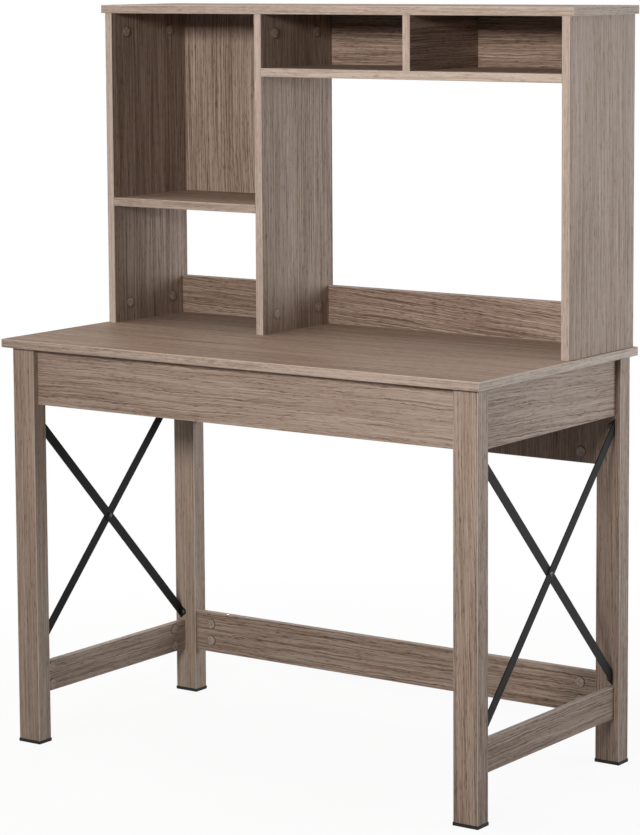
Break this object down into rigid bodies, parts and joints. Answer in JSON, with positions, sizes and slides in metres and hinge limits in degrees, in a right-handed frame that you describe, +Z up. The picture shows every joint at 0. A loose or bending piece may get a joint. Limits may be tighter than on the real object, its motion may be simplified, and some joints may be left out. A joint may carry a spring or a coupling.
{
  "type": "student desk with hutch",
  "caption": "Writing desk on square-edged legs with steel cross braces at both ends and an open hutch of shelf, cubbies and a monitor bay on top",
  "frame": {"origin": "on the floor, under the middle of the desktop", "axes": "+Z up, +X to the user's right, -Y towards the user"},
  "size_m": [1, 0.514, 1.317],
  "materials": {
    "oak_laminate": "grey-brown oak print, matt, light emboss",
    "black_steel": "satin black powder coat",
    "zinc_steel": "zinc plated",
    "black_plastic": "moulded, matt",
    "cover_cap": "moulded, printed to match the laminate",
    "beech": "bare, fluted"
  },
  "bodies": {
    "root": {"desktop": "oak_laminate", "leg_front_left": "oak_laminate", "leg_front_right": "oak_laminate", "leg_rear_left": "oak_laminate", "leg_rear_right": "oak_laminate", "front_apron": "oak_laminate", "rear_apron": "oak_laminate", "left_apron": "oak_laminate", "right_apron": "oak_laminate", "left_stretcher": "oak_laminate", "right_stretcher": "oak_laminate", "rear_stretcher": "oak_laminate", "hutch_left_side": "oak_laminate", "hutch_divider": "oak_laminate", "hutch_right_side": "oak_laminate", "hutch_top": "oak_laminate", "left_shelf": "oak_laminate", "cubby_shelf": "oak_laminate", "cubby_divider": "oak_laminate", "left_rail": "oak_laminate", "right_rail": "oak_laminate", "left_back_panel": "oak_laminate", "cubby_back_panel": "oak_laminate", "left_strap_to_front": "black_steel", "left_strap_to_rear": "black_steel", "right_strap_to_front": "black_steel", "right_strap_to_rear": "black_steel", "brace_screws": "black_steel", "brace_bolts": "black_steel", "brace_nuts": "black_steel", "cam_locks": "zinc_steel", "slim_cam_locks": "zinc_steel", "cam_bolts": "zinc_steel", "foot_cap_front_left": "black_plastic", "foot_cap_front_right": "black_plastic", "foot_cap_rear_left": "black_plastic", "foot_cap_rear_right": "black_plastic", "cam_caps": "cover_cap", "dowels": "beech"}
  },
  "joints": []
}
